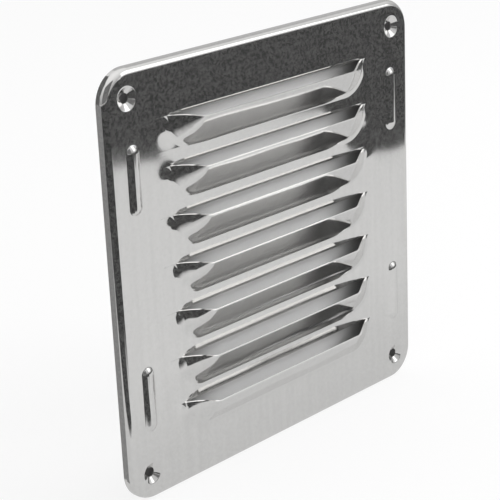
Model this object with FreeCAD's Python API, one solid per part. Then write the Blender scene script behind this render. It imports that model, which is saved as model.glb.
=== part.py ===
import FreeCAD, Part
import math
import os

os.makedirs("parts", exist_ok=True)

# Louvred wall panel, one pressed sheet. All lengths in mm, angles in degrees.
# X runs across, Z runs up, the face looks towards -Y and the wall is behind it.
# The sheet is drawn with its face at y = 0, so what is pressed out has a negative y.
# It is then moved so that the origin is the centre of the screw pattern, half way
# through the holes' walls.

# Sheet and tray
sheet_t = 0.8
panel_w = 200.0
panel_h = 200.0
corner_r = 15.0
rim_depth = 5.0
rim_bend_r = 3.2

# Louvres, a column in the middle of the panel. Each is a flap below a slit, turned out
# about its crease, so its cut edge runs on a circle round the crease. The sheet leaves
# its plane at a slight angle, then bends into the flap: tightly at the crease, and with
# a wide radius towards both ends of the slit.
louvre_count = 7
louvre_pitch = 22.5
louvre_side_margin = 34.7
louvre_height = 15.3
louvre_drop = 0.15
flap_angle = 33.0
hood_end_run = 15.0
hood_overrun = 1.05
hood_tip_corner_r = 0.8
hood_foot_corner_r = 15.5
hood_foot_angle = 3.0
crease_bend_r = 6.0
end_bend_r = 9.0
louvre_half_len = panel_w / 2.0 - louvre_side_margin
hood_out = louvre_height * math.sin(math.radians(flap_angle))
end_angle = math.degrees(math.atan2(hood_out, hood_end_run))
louvre_top_z = ((louvre_count - 1) * louvre_pitch + louvre_height) / 2.0 - louvre_drop

# The slit stops a little inside the hood's ends. Past it the sheet isn't torn, so it
# falls back to its plane.
slit_end_inset = 0.6
slit_end_slope = 12.0
slit_half_len = louvre_half_len - slit_end_inset

# Rolled front edge that the punch leaves on the sheet above each slit
slit_roll_h = 1.2
slit_roll_depth = 0.2
slit_roll_fade = 8.0

# Screw dimples, one in each corner
screw_edge = 13.0
screw_hole_d = 4.6
dimple_d = 10.6
dimple_depth = 1.8
dimple_rim_r = 1.4
screw_spacing_x = panel_w - 2.0 * screw_edge
screw_spacing_z = panel_h - 2.0 * screw_edge

# Stiffening ribs beside the louvres
rib_side_edge = 14.2
rib_end_edge = 33.5
rib_len = 31.0
rib_w = 7.0
rib_out = 1.5
rib_blend_r = 0.8
rib_half_spacing = panel_w / 2.0 - rib_side_edge
rib_centre_z = (panel_h - rib_len) / 2.0 - rib_end_edge

# A pressing is drawn on a slab of its own, which the sheet then takes in
slab_margin = 3.0
slab_t = 1.0

# Sections of a hood's bend, in equal turns
bend_steps = 5

UP = FreeCAD.Vector(0, 0, 1)
ACROSS = FreeCAD.Vector(1, 0, 0)
BACK = FreeCAD.Vector(0, 1, 0)


def vec(x, y, z):
    return FreeCAD.Vector(x, y, z)


def rounded_wire(x0, x1, z0, z1, r, y):
    """Closed outline with round corners in the plane at y."""
    k = r * (1.0 - math.sqrt(0.5))
    edges = [
        Part.makeLine(vec(x0 + r, y, z0), vec(x1 - r, y, z0)),
        Part.Arc(vec(x1 - r, y, z0), vec(x1 - k, y, z0 + k), vec(x1, y, z0 + r)).toShape(),
        Part.makeLine(vec(x1, y, z0 + r), vec(x1, y, z1 - r)),
        Part.Arc(vec(x1, y, z1 - r), vec(x1 - k, y, z1 - k), vec(x1 - r, y, z1)).toShape(),
        Part.makeLine(vec(x1 - r, y, z1), vec(x0 + r, y, z1)),
        Part.Arc(vec(x0 + r, y, z1), vec(x0 + k, y, z1 - k), vec(x0, y, z1 - r)).toShape(),
        Part.makeLine(vec(x0, y, z1 - r), vec(x0, y, z0 + r)),
        Part.Arc(vec(x0, y, z0 + r), vec(x0 + k, y, z0 + k), vec(x0 + r, y, z0)).toShape(),
    ]
    return Part.Wire(edges)


def block(x0, x1, y0, y1, z0, z1):
    return Part.makeBox(x1 - x0, y1 - y0, z1 - z0, vec(x0, y0, z0))


def edges_at_y(shape, y):
    """Edges that lie whole in the plane at y."""
    found = []
    for edge in shape.Edges:
        box = edge.BoundBox
        if abs(box.YMin - y) < 1e-4 and abs(box.YMax - y) < 1e-4:
            found.append(edge)
    return found


def inside_slab(edge, hx, hz):
    box = edge.BoundBox
    return box.XMin > -hx and box.XMax < hx and box.ZMin > -hz and box.ZMax < hz


def tray_block(inset, y0, y1, bend_r):
    """Solid block with round corners and a round front edge."""
    hw = panel_w / 2.0 - inset
    hh = panel_h / 2.0 - inset
    wire = rounded_wire(-hw, hw, -hh, hh, corner_r - inset, y0)
    body = Part.Face(wire).extrude(vec(0, y1 - y0, 0))
    return body.makeFillet(bend_r, edges_at_y(body, y0))


def hood_wire(hx, z0, z1, r, y):
    """Outline of a hood in the plane at y: round corners below, square ones above."""
    k = r * (1.0 - math.sqrt(0.5))
    edges = [
        Part.makeLine(vec(-hx + r, y, z0), vec(hx - r, y, z0)),
        Part.Arc(vec(hx - r, y, z0), vec(hx - k, y, z0 + k), vec(hx, y, z0 + r)).toShape(),
        Part.makeLine(vec(hx, y, z0 + r), vec(hx, y, z1)),
        Part.makeLine(vec(hx, y, z1), vec(-hx, y, z1)),
        Part.makeLine(vec(-hx, y, z1), vec(-hx, y, z0 + r)),
        Part.Arc(vec(-hx, y, z0 + r), vec(-hx + k, y, z0 + k), vec(-hx + r, y, z0)).toShape(),
    ]
    return Part.Wire(edges)


def bend_top(r, angle):
    """Height of a bend of radius r that runs from the foot angle to the given angle."""
    return r * (math.cos(math.radians(hood_foot_angle)) - math.cos(math.radians(angle)))


def inset_at(h, r, angle):
    """How far a flank has come in at height h: first over its bend, then straight."""
    start = math.sin(math.radians(hood_foot_angle))
    top = bend_top(r, angle)
    if h < top:
        turned = math.acos(math.cos(math.radians(hood_foot_angle)) - h / r)
        return r * (math.sin(turned) - start)
    a = math.radians(angle)
    return r * (math.sin(a) - start) + (h - top) / math.tan(a)


def bend_reach(r, angle):
    """How far a bend reaches out past the line where its straight flank meets the sheet."""
    top = bend_top(r, angle)
    return inset_at(top, r, angle) - top / math.tan(math.radians(angle))


def hood_section(skin, h):
    """Outline of the hood at height h above the face (skin 0) or the back (skin t)."""
    end = inset_at(h, end_bend_r + skin, end_angle)
    full = inset_at(hood_out * hood_overrun, end_bend_r + skin, end_angle)
    rise = inset_at(h, crease_bend_r + skin, flap_angle)
    hx = louvre_half_len + bend_reach(end_bend_r, end_angle) - end
    z0 = -louvre_height - bend_reach(crease_bend_r, flap_angle) + rise
    r = hood_foot_corner_r + (hood_tip_corner_r - hood_foot_corner_r) * end / full
    return hood_wire(hx, z0, slab_margin, r, skin - h)


def hood_form(skin):
    """Hood as a filled form on a slab: a smooth loft for the bends, then straight flanks."""
    bend = bend_top(end_bend_r + skin, end_angle)
    foot = [hood_section(skin, bend * (i / bend_steps) ** 2) for i in range(bend_steps + 1)]
    flanks = [foot[-1], hood_section(skin, hood_out * hood_overrun)]
    form = Part.makeLoft(foot, True, False).fuse(Part.makeLoft(flanks, True, True))
    box = foot[0].BoundBox
    m = slab_margin
    slab = block(box.XMin - m, box.XMax + m, skin, skin + slab_t, box.ZMin - m, box.ZMax)
    return form.fuse(slab)


def above_slit(y_front, y_back):
    """Block over all that a louvre's form has above its slit."""
    return block(-panel_w / 2.0, panel_w / 2.0, y_front, y_back, 0, louvre_pitch)


def past_flap():
    """What lies further from the crease than the flap is long."""
    hx = panel_w / 2.0
    crease = vec(-hx, 0, -louvre_height)
    reach = Part.makeCylinder(louvre_height, 2.0 * hx, crease, ACROSS)
    return block(-hx, hx, -2.0 * hood_out, 0, -louvre_height, 0).cut(reach)


def slit_ends(skin):
    """What is off the form past both ends of a slit: all above a plane that falls to it."""
    outer = louvre_half_len + bend_reach(end_bend_r, end_angle)
    run = outer - slit_half_len + slab_margin
    drop = crease_bend_r
    low = skin - drop * math.tan(math.radians(slit_end_slope))
    front = -hood_out
    ends = []
    for x in (slit_half_len, -slit_half_len - run):
        corners = [vec(x, front, 0), vec(x, skin, 0), vec(x, low, -drop), vec(x, front, -drop)]
        side = Part.Face(Part.makePolygon(corners + corners[:1]))
        ends.append(side.extrude(vec(run, 0, 0)))
    return ends


def one_hood(skin):
    """One louvre's form as it is seen: a flap below the slit, and nothing above it."""
    form = hood_form(skin)
    form = form.cut(above_slit(-2.0 * hood_out, skin + 2.0 * slab_t))
    for end in slit_ends(skin):
        form = form.cut(end)
    return form


def face_hood():
    """Face side of one louvre; the flap ends on its circle."""
    return one_hood(0.0).cut(past_flap())


def back_hood():
    """Back side of one louvre."""
    return one_hood(sheet_t)


def slit_roll():
    """What the rolled edge above a slit lacks of a square one; it fades out at both ends."""
    hx = slit_half_len
    inner = hx - slit_roll_fade
    d = slit_roll_depth
    plan = Part.makePolygon([vec(-hx, 0, 0), vec(hx, 0, 0), vec(inner, d, 0), vec(-inner, d, 0),
                             vec(-hx, 0, 0)])
    strip = Part.Face(plan).extrude(vec(0, 0, slit_roll_h))
    r = (slit_roll_h ** 2 + d ** 2) / (2.0 * d)
    return strip.cut(Part.makeCylinder(r, 2.0 * hx, vec(-hx, r, slit_roll_h), ACROSS))


def louvre_heights():
    return [louvre_top_z - i * louvre_pitch for i in range(louvre_count)]


def moved(shape, x, z):
    copy = shape.copy()
    copy.translate(vec(x, 0, z))
    return copy


def rib_form(skin):
    """Rib as a filled form: an arc section with round ends, on a slab."""
    r = (rib_w ** 2 / 4.0 + rib_out ** 2) / (2.0 * rib_out)
    crest_r = r - skin
    axis_y = r - rib_out
    half = rib_len / 2.0 - rib_w / 2.0
    bar = Part.makeCylinder(crest_r, 2.0 * half, vec(0, axis_y, -half), UP)
    ends = [Part.makeSphere(crest_r, vec(0, axis_y, z)) for z in (-half, half)]
    form = bar.multiFuse(ends).removeSplitter()
    m = rib_w
    front = block(-m, m, -m, skin, -half - m, half + m)
    slab = block(-m, m, skin, skin + slab_t, -half - m, half + m)
    body = form.common(front.fuse(slab)).fuse(slab).removeSplitter()
    seam = [e for e in edges_at_y(body, skin) if inside_slab(e, m - 1.0, half + m - 1.0)]
    return body.makeFillet(rib_blend_r + skin, seam)


def rib_places():
    return [(sx * rib_half_spacing, sz * rib_centre_z) for sx in (-1, 1) for sz in (-1, 1)]


def screw_places():
    hx = screw_spacing_x / 2.0
    hz = screw_spacing_z / 2.0
    return [(sx * hx, sz * hz) for sx in (-1, 1) for sz in (-1, 1)]


def dimple_cone(skin):
    """Solid that sinks one screw dimple into the face (skin 0) or the back (skin t)."""
    r_rim = dimple_d / 2.0
    r_hole = screw_hole_d / 2.0
    slope = (r_rim - r_hole) / dimple_depth
    angle = math.atan2(dimple_depth, r_rim - r_hole)
    rim = r_rim + skin * math.tan(angle / 2.0)
    floor = rim - dimple_depth * slope
    return Part.makeCone(rim, floor, dimple_depth, vec(0, skin, 0), BACK)


def body_side(skin, depth):
    """Solid behind the face surface (skin 0) or behind the back surface (skin t)."""
    body = tray_block(skin, skin, depth, rim_bend_r - skin)
    for x, z in screw_places():
        body = body.cut(moved(dimple_cone(skin), x, z))
    rims = [e for e in edges_at_y(body, skin) if near_screw(e)]
    body = body.makeFillet(dimple_rim_r - skin, rims)
    hood = back_hood() if skin else face_hood()
    rib = rib_form(skin)
    forms = [moved(hood, 0, z) for z in louvre_heights()]
    forms += [moved(rib, x, z) for x, z in rib_places()]
    return body.multiFuse(forms)


def near_screw(edge):
    mid = edge.BoundBox.Center
    reach = dimple_d / 4.0
    return any(abs(mid.x - x) < reach and abs(mid.z - z) < reach for x, z in screw_places())


def screw_holes():
    d = dimple_depth + 4.0 * sheet_t
    hole = Part.makeCylinder(screw_hole_d / 2.0, d, vec(0, -sheet_t, 0), BACK)
    return [moved(hole, x, z) for x, z in screw_places()]


def louvred_panel():
    face = body_side(0.0, rim_depth)
    back = body_side(sheet_t, rim_depth + 1.0)
    sheet = face.cut(back)
    for z in louvre_heights():
        sheet = sheet.cut(moved(slit_roll(), 0, z))
    for hole in screw_holes():
        sheet = sheet.cut(hole)
    sheet = sheet.removeSplitter()
    sheet.translate(vec(0, -(dimple_depth + sheet_t / 2.0), 0))
    return sheet


panel = louvred_panel()
if len(panel.Solids) == 1:
    panel = panel.Solids[0]
print("solids", len(panel.Solids), "faces", len(panel.Faces), "valid", panel.isValid())
print("volume", panel.Volume, "box", panel.BoundBox)
panel.exportStep("parts/louvred_panel.step")
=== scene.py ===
import math

import bpy
from mathutils import Matrix, Vector


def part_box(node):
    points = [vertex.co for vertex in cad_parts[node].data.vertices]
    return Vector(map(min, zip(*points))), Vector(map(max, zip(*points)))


# Camera
CAMERA_AZIMUTH = -45.31
CAMERA_ELEVATION = 19.41
CAMERA_ROLL = -2.60
CAMERA_DISTANCE = 0.7527
CAMERA_AIM = (-0.00977, 0.00595, -0.00344)
CAMERA_LENS = 115.0

# Louvres, as the pressed sheet has them
FACE_Y = -0.0022
SLIT_TOP_Z = 0.075
SLIT_BOTTOM_Z = -0.060
SLIT_PITCH = 0.0225
WEB_H = 0.0072
# Depth behind the face that still counts as the front
FACE_MARGIN = 0.0002

# Webs between the louvres, which the punch has tipped a little out of the face
WEB_SLOPE = 0.045
# Spans of X over which their lean grows, and fades again
WEB_TIPPED_LEFT = (-0.074, -0.050)
WEB_TIPPED_RIGHT = (0.032, 0.058)

# Soft pull of the sheet round both ends of a slit
TIP_X = 0.065
TIP_DROP = 0.006
TIP_SPREAD = 0.0034
TIP_SWELL_LEFT = 0.00055
TIP_SWELL_RIGHT = 0.00018

# Bare sheet, with its noises' scales in features per metre
SHEET_COLOUR = (0.80, 0.795, 0.785, 1.0)
SHEET_DULL_COLOUR = (0.76, 0.755, 0.745, 1.0)
SHEET_ROUGHNESS = (0.05, 0.09)
SHEET_METALLIC = (0.95, 1.0)
GRAIN_SCALE = 760.0
STREAK_SCALE = 330.0
STREAK_STRETCH = (1.0, 1.0, 0.035)
CLOUD_SCALE = 38.0
WAVE_SCALE = 18.0
WAVE_HEIGHT = 0.0005
# Share of the grain in the wear, whose other part is the streaks
GRAIN_SHARE = 0.65
# Spans of the noises' values over which colour, roughness and metallic change
WEAR_SPAN = (0.38, 0.62)
CLOUD_SPAN = (0.3, 0.7)
GRAIN_SPAN = (0.40, 0.62)

# Stage
WHITE = (1.0, 1.0, 1.0, 1.0)
WORLD_COLOUR = (0.8, 0.8, 0.8, 1.0)
MATT_ROUGHNESS = 0.9
FLOOR_SIDE = 12.0
FLOOR_COLOUR = (0.9, 0.9, 0.9, 1.0)
FLOOR_WHITE_SHARE = 0.8
ROOM_RADIUS = 6.0
ROOM_LEVELS = (0.35, 1.0)

# Board behind the panel, with painted shade: its colour turns dark grey over the same span of X
# to both sides, standing in for the shadow behind the sheet's solid margins
BACKING_SIDE = 0.19
BACKING_GAP = 0.0005
BACKING_COLOUR = (0.75, 0.75, 0.75, 1.0)
BACKING_PAINTED_SHADE_COLOUR = (0.22, 0.22, 0.22, 1.0)
BACKING_PAINTED_SHADE_SPAN = (0.032, 0.072)

# Level of the plain floor that the sheet mirrors, into which the cards' near edges fade
FLOOR_LEVEL = 0.73

# Cards that lie on the floor: name, near right corner, azimuth along which the length runs
# out, width to the left of it, length, lift over the floor, grey level, fade at the near edge
FLOOR_CARDS = (
    ("white_floor", (5.0, 5.0), 0.0, 10.0, 10.0, 0.0002, FLOOR_LEVEL, 0.0),
    ("grey_floor_near", (-5.0, -0.12), 180.0, 10.0, 3.0, 0.0004, 0.63, 0.12),
    ("dark_floor_far", (2.73, 1.49), 37.7, 6.0, 4.0, 0.0005, 0.055, 0.0),
    ("dark_floor_left", (-0.063, -0.077), -10.0, 3.0, 3.0, 0.0012, 0.05, 0.015),
    ("dark_floor_front", (-0.030, -0.087), 22.0, 3.0, 3.0, 0.001, 0.05, 0.12),
    # Painted shadow: grey card, seen only in the metal, standing in for the panel's shadow on
    # the floor behind it to the left
    ("grey_floor_back_left", (-0.11, 3.0), 0.0, 3.0, 3.0, 0.0015, 0.25, 0.0),
)

# Upright cards: name, azimuth, distance, width, foot and top as heights over the floor,
# grey level. Only the softbox is brighter than white.
WALL_CARDS = (
    ("dark_wall", 40.0, 1.5, 3.2, 0.0, 0.21, 0.07),
    ("dark_wall_back_left", -148.0, 2.0, 2.6, 0.0, 3.1, 0.12),
    ("dark_wall_left", -40.0, 2.0, 3.0, 0.2, 2.7, 0.16),
    ("grey_wall_back_right", 126.0, 2.5, 2.8, 0.2, 3.1, 0.52),
    ("pale_wall", 42.0, 1.49, 1.0, 0.22, 0.52, 0.75),
    ("softbox", 42.0, 1.48, 0.85, 0.50, 1.8, 1.6),
)


def direction(azimuth, elevation):
    """Unit vector from the object towards that azimuth and elevation."""
    a = math.radians(azimuth)
    e = math.radians(elevation)
    return Vector((math.sin(a) * math.cos(e), -math.cos(a) * math.cos(e), math.sin(e)))


def add_camera():
    toward = direction(CAMERA_AZIMUTH, CAMERA_ELEVATION)
    data = bpy.data.cameras.new("photo_camera")
    data.lens = CAMERA_LENS
    data.sensor_width = 36.0
    data.clip_start = 0.01
    camera = bpy.data.objects.new("photo_camera", data)
    bpy.context.scene.collection.objects.link(camera)
    turn = toward.to_track_quat("Z", "Y").to_matrix().to_4x4()
    roll = Matrix.Rotation(math.radians(CAMERA_ROLL), 4, "Z")
    place = Matrix.Translation(Vector(CAMERA_AIM) + toward * CAMERA_DISTANCE)
    camera.matrix_world = place @ turn @ roll
    bpy.context.scene.camera = camera


# Shader nodes


def new_material(name):
    material = bpy.data.materials.new(name)
    material.use_nodes = True
    nodes = material.node_tree.nodes
    return material, nodes, material.node_tree.links, nodes["Principled BSDF"]


def feed(tree, socket, value):
    """Put a number on a socket, or link another node's output to it."""
    if isinstance(value, bpy.types.NodeSocket):
        tree.links.new(value, socket)
    else:
        socket.default_value = value


def math_node(tree, operation, *values):
    node = tree.nodes.new("ShaderNodeMath")
    node.operation = operation
    for socket, value in zip(node.inputs, values):
        feed(tree, socket, value)
    return node.outputs[0]


def product(tree, first, *others):
    result = first
    for value in others:
        result = math_node(tree, "MULTIPLY", result, value)
    return result


def ramp(tree, value, low, high, out_low=0.0, out_high=1.0, smooth=False):
    """Map a value from one range to another, held at both ends."""
    node = tree.nodes.new("ShaderNodeMapRange")
    node.interpolation_type = "SMOOTHSTEP" if smooth else "LINEAR"
    feed(tree, node.inputs["Value"], value)
    node.inputs["From Min"].default_value = low
    node.inputs["From Max"].default_value = high
    node.inputs["To Min"].default_value = out_low
    node.inputs["To Max"].default_value = out_high
    return node.outputs["Result"]


def object_place(tree):
    return tree.nodes.new("ShaderNodeTexCoord").outputs["Object"]


def split(tree, vector):
    """The X, Y and Z of a vector."""
    node = tree.nodes.new("ShaderNodeSeparateXYZ")
    tree.links.new(vector, node.inputs["Vector"])
    return node.outputs


def noise(tree, place, scale, detail, stretch=(1.0, 1.0, 1.0)):
    """Noise of about that many features per metre; a stretch under 1 draws it out."""
    mapping = tree.nodes.new("ShaderNodeMapping")
    mapping.inputs["Scale"].default_value = stretch
    tree.links.new(place, mapping.inputs["Vector"])
    node = tree.nodes.new("ShaderNodeTexNoise")
    node.inputs["Scale"].default_value = scale
    node.inputs["Detail"].default_value = detail
    tree.links.new(mapping.outputs["Vector"], node.inputs["Vector"])
    return node.outputs["Fac"]


def mix_colour(tree, factor, first, second):
    node = tree.nodes.new("ShaderNodeMix")
    node.data_type = "RGBA"
    feed(tree, node.inputs["Factor"], factor)
    node.inputs["A"].default_value = first
    node.inputs["B"].default_value = second
    return node.outputs["Result"]


# The sheet


def on_front(tree, y):
    """1 from the panel's face outwards, 0 on its flat back and on the rim."""
    return math_node(tree, "LESS_THAN", y, FACE_Y + FACE_MARGIN)


def web_height(tree, x, y, z):
    """Height of the webs' tipped faces over the flat sheet: it grows upwards from a slit."""
    above_top = math_node(tree, "SUBTRACT", z, SLIT_TOP_Z)
    above_slit = math_node(tree, "FLOORED_MODULO", above_top, SLIT_PITCH)
    rise = math_node(tree, "MINIMUM", above_slit, WEB_H)
    return product(
        tree,
        rise,
        WEB_SLOPE,
        ramp(tree, x, *WEB_TIPPED_LEFT, 0.0, 1.0, smooth=True),
        ramp(tree, x, *WEB_TIPPED_RIGHT, 1.0, 0.0, smooth=True),
        math_node(tree, "LESS_THAN", z, SLIT_TOP_Z),
        math_node(tree, "GREATER_THAN", z, SLIT_BOTTOM_Z),
        on_front(tree, y),
    )


def tip_height(tree, x, y, z):
    """Low round swelling at both ends of every slit, on the face only."""
    half_pitch = SLIT_PITCH / 2.0
    across = math_node(tree, "SUBTRACT", math_node(tree, "ABSOLUTE", x), TIP_X)
    up = math_node(tree, "SUBTRACT", z, SLIT_TOP_Z - TIP_DROP)
    up = math_node(tree, "WRAP", up, half_pitch, -half_pitch)
    across_square = math_node(tree, "POWER", math_node(tree, "DIVIDE", across, TIP_SPREAD), 2.0)
    up_square = math_node(tree, "POWER", math_node(tree, "DIVIDE", up, TIP_SPREAD), 2.0)
    square = math_node(tree, "ADD", across_square, up_square)
    bell = math_node(tree, "EXPONENT", math_node(tree, "MULTIPLY", square, -0.5))
    return product(
        tree,
        bell,
        ramp(tree, x, -TIP_X / 2.0, TIP_X / 2.0, TIP_SWELL_LEFT, TIP_SWELL_RIGHT),
        math_node(tree, "LESS_THAN", z, SLIT_TOP_Z - TIP_DROP + half_pitch),
        math_node(tree, "GREATER_THAN", z, SLIT_BOTTOM_Z - TIP_DROP - half_pitch),
        on_front(tree, y),
    )


def sheet_metal():
    """Bare rolled aluminium: fine mottled grain, faint streaks along Z, slight waviness."""
    material, nodes, links, shader = new_material("bare_aluminium_sheet")
    tree = material.node_tree
    place = object_place(tree)
    x, y, z = split(tree, place)
    grain = noise(tree, place, GRAIN_SCALE, detail=4.0)
    streak = noise(tree, place, STREAK_SCALE, detail=2.0, stretch=STREAK_STRETCH)
    cloud = noise(tree, place, CLOUD_SCALE, detail=3.0)
    wave = noise(tree, place, WAVE_SCALE, detail=1.0)
    wear = math_node(
        tree,
        "ADD",
        math_node(tree, "MULTIPLY", grain, GRAIN_SHARE),
        math_node(tree, "MULTIPLY", streak, 1.0 - GRAIN_SHARE),
    )
    dulled = ramp(tree, wear, *WEAR_SPAN)
    colour = mix_colour(tree, dulled, SHEET_COLOUR, SHEET_DULL_COLOUR)
    links.new(colour, shader.inputs["Base Color"])
    links.new(ramp(tree, cloud, *CLOUD_SPAN, *SHEET_ROUGHNESS), shader.inputs["Roughness"])
    links.new(ramp(tree, grain, *GRAIN_SPAN, *SHEET_METALLIC), shader.inputs["Metallic"])
    height = math_node(tree, "MULTIPLY", wave, WAVE_HEIGHT)
    height = math_node(tree, "ADD", height, web_height(tree, x, y, z))
    height = math_node(tree, "ADD", height, tip_height(tree, x, y, z))
    bump = nodes.new("ShaderNodeBump")
    bump.inputs["Strength"].default_value = 1.0
    bump.inputs["Distance"].default_value = 1.0
    links.new(height, bump.inputs["Height"])
    links.new(bump.outputs["Normal"], shader.inputs["Normal"])
    return material


# Studio


def emitter(name, level):
    """Plain glowing material of one grey level."""
    material = bpy.data.materials.new(name)
    material.use_nodes = True
    tree = material.node_tree
    tree.nodes.clear()
    out = tree.nodes.new("ShaderNodeOutputMaterial")
    light = tree.nodes.new("ShaderNodeEmission")
    light.inputs["Color"].default_value = (level, level, level, 1.0)
    tree.links.new(light.outputs["Emission"], out.inputs["Surface"])
    return material


def set_glow(material, strength):
    """Let a value that changes over the surface say how brightly an emitter glows."""
    tree = material.node_tree
    light = tree.nodes["Emission"]
    light.inputs["Color"].default_value = WHITE
    tree.links.new(strength, light.inputs["Strength"])


def only_in_reflections(obj):
    """The card shows in the bare metal and nowhere else."""
    obj.visible_camera = False
    obj.visible_diffuse = False
    obj.visible_shadow = False


def plane(name, place, turn, width, depth, material):
    """Flat rectangle about a place; turn is its rotation as Euler angles in degrees."""
    rotation = [math.radians(t) for t in turn]
    bpy.ops.mesh.primitive_plane_add(size=1.0, location=place, rotation=rotation)
    obj = bpy.context.active_object
    obj.name = name
    obj.scale = (width, depth, 1.0)
    bpy.ops.object.transform_apply(location=True, rotation=True, scale=True)
    obj.data.materials.append(material)
    return obj


def floor_card(floor_z, name, corner, azimuth, width, length, lift, level, fade):
    """Card on the floor, whose near edge runs softly from the floor's level to its own."""
    ahead = direction(azimuth, 0.0)
    left = direction(azimuth - 90.0, 0.0)
    near = Vector((corner[0], corner[1], floor_z + lift))
    material = emitter(name, level)
    if fade:
        tree = material.node_tree
        along = tree.nodes.new("ShaderNodeVectorMath")
        along.operation = "DOT_PRODUCT"
        tree.links.new(object_place(tree), along.inputs[0])
        along.inputs[1].default_value = ahead
        distance = along.outputs["Value"]
        start = near.dot(ahead)
        grey = ramp(tree, distance, start, start + fade, FLOOR_LEVEL, level, smooth=True)
        set_glow(material, grey)
    middle = near + ahead * length / 2.0 + left * width / 2.0
    only_in_reflections(plane(name, middle, (0, 0, azimuth), width, length, material))


def wall_card(floor_z, name, azimuth, distance, width, foot, top, level):
    """Upright card across the line at that azimuth from the object."""
    middle = direction(azimuth, 0.0) * distance
    middle.z = floor_z + (foot + top) / 2.0
    material = emitter(name, level)
    only_in_reflections(plane(name, middle, (90, 0, azimuth), width, top - foot, material))


def add_room():
    """Room round the studio, whose walls grow brighter towards the ceiling."""
    bpy.ops.mesh.primitive_ico_sphere_add(subdivisions=4, radius=ROOM_RADIUS)
    room = bpy.context.active_object
    room.name = "room"
    material = emitter("room", ROOM_LEVELS[0])
    tree = material.node_tree
    z = split(tree, object_place(tree))["Z"]
    set_glow(material, ramp(tree, z, 0.0, ROOM_RADIUS, *ROOM_LEVELS))
    room.data.materials.append(material)
    only_in_reflections(room)


def area_lamp(name, azimuth, elevation, distance, size, watts):
    data = bpy.data.lights.new(name, "AREA")
    data.size = size
    data.energy = watts
    lamp = bpy.data.objects.new(name, data)
    bpy.context.scene.collection.objects.link(lamp)
    toward = direction(azimuth, elevation)
    turn = toward.to_track_quat("Z", "Y").to_matrix().to_4x4()
    lamp.matrix_world = Matrix.Translation(toward * distance) @ turn
    lamp.visible_glossy = False


def set_world():
    """Plain pale light all round; the metal mirrors the cards instead of it."""
    world = bpy.data.worlds.new("studio")
    bpy.context.scene.world = world
    world.use_nodes = True
    tree = world.node_tree
    path = tree.nodes.new("ShaderNodeLightPath")
    colour = mix_colour(tree, path.outputs["Is Camera Ray"], WORLD_COLOUR, WHITE)
    tree.links.new(colour, tree.nodes["Background"].inputs["Color"])
    world.cycles_visibility.glossy = False


def make_matt(shader):
    """Dull finish, with no gloss at all."""
    shader.inputs["Roughness"].default_value = MATT_ROUGHNESS
    shader.inputs["Specular IOR Level"].default_value = 0.0


def mix_into_output(nodes, links, factor, first, second):
    """Blend two shaders and put the result on the material's output."""
    mix = nodes.new("ShaderNodeMixShader")
    links.new(factor, mix.inputs["Fac"])
    links.new(first, mix.inputs[1])
    links.new(second, mix.inputs[2])
    links.new(mix.outputs["Shader"], nodes["Material Output"].inputs["Surface"])


def add_floor(floor_z):
    """Pale floor: near white to the camera, with the object's soft shadow left in it."""
    material, nodes, links, shader = new_material("pale_floor")
    shader.inputs["Base Color"].default_value = FLOOR_COLOUR
    make_matt(shader)
    path = nodes.new("ShaderNodeLightPath")
    seen = path.outputs["Is Camera Ray"]
    white_share = math_node(material.node_tree, "MULTIPLY", seen, FLOOR_WHITE_SHARE)
    white = nodes.new("ShaderNodeEmission")
    white.inputs["Color"].default_value = WHITE
    mix_into_output(nodes, links, white_share, shader.outputs["BSDF"], white.outputs["Emission"])
    floor = plane("floor", (0, 0, floor_z), (0, 0, 0), FLOOR_SIDE, FLOOR_SIDE, material)
    floor.visible_glossy = False


def add_backing(back_y):
    """Board close behind the panel, seen through the louvres; its edges carry painted shade, a
    darker grey that stands in for the shadow there.

    It is clear from behind, so that it doesn't hide the panel's back."""
    material, nodes, links, shader = new_material("backing_board")
    tree = material.node_tree
    x = split(tree, object_place(tree))["X"]
    # Painted shade: dark grey towards both side edges, in place of the shadow behind the sheet's
    # solid margins
    dark = ramp(tree, math_node(tree, "ABSOLUTE", x), *BACKING_PAINTED_SHADE_SPAN, smooth=True)
    colour = mix_colour(tree, dark, BACKING_COLOUR, BACKING_PAINTED_SHADE_COLOUR)
    links.new(colour, shader.inputs["Base Color"])
    make_matt(shader)
    clear = nodes.new("ShaderNodeBsdfTransparent")
    behind = nodes.new("ShaderNodeNewGeometry").outputs["Backfacing"]
    mix_into_output(nodes, links, behind, shader.outputs["BSDF"], clear.outputs["BSDF"])
    place = (0, back_y + BACKING_GAP, 0)
    board = plane("backing_board", place, (90, 0, 0), BACKING_SIDE, BACKING_SIDE, material)
    board.visible_shadow = False
    board.visible_diffuse = False


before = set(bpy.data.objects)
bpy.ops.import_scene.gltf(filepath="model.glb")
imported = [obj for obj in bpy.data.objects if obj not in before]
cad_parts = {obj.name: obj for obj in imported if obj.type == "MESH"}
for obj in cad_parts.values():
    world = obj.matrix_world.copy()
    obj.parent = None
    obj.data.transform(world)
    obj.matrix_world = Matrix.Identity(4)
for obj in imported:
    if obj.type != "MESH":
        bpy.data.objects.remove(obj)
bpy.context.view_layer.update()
bpy.ops.object.select_all(action="DESELECT")
bpy.context.scene.view_settings.view_transform = "Standard"

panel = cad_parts["louvred_panel"]
metal = sheet_metal()
for slot in panel.material_slots:
    slot.material = metal

add_camera()
set_world()
box_low, box_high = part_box("louvred_panel")
add_floor(box_low.z)
add_room()
for card in FLOOR_CARDS:
    floor_card(box_low.z, *card)
for card in WALL_CARDS:
    wall_card(box_low.z, *card)
add_backing(box_high.y)
area_lamp("key", azimuth=40.0, elevation=35.0, distance=1.6, size=0.9, watts=14.0)
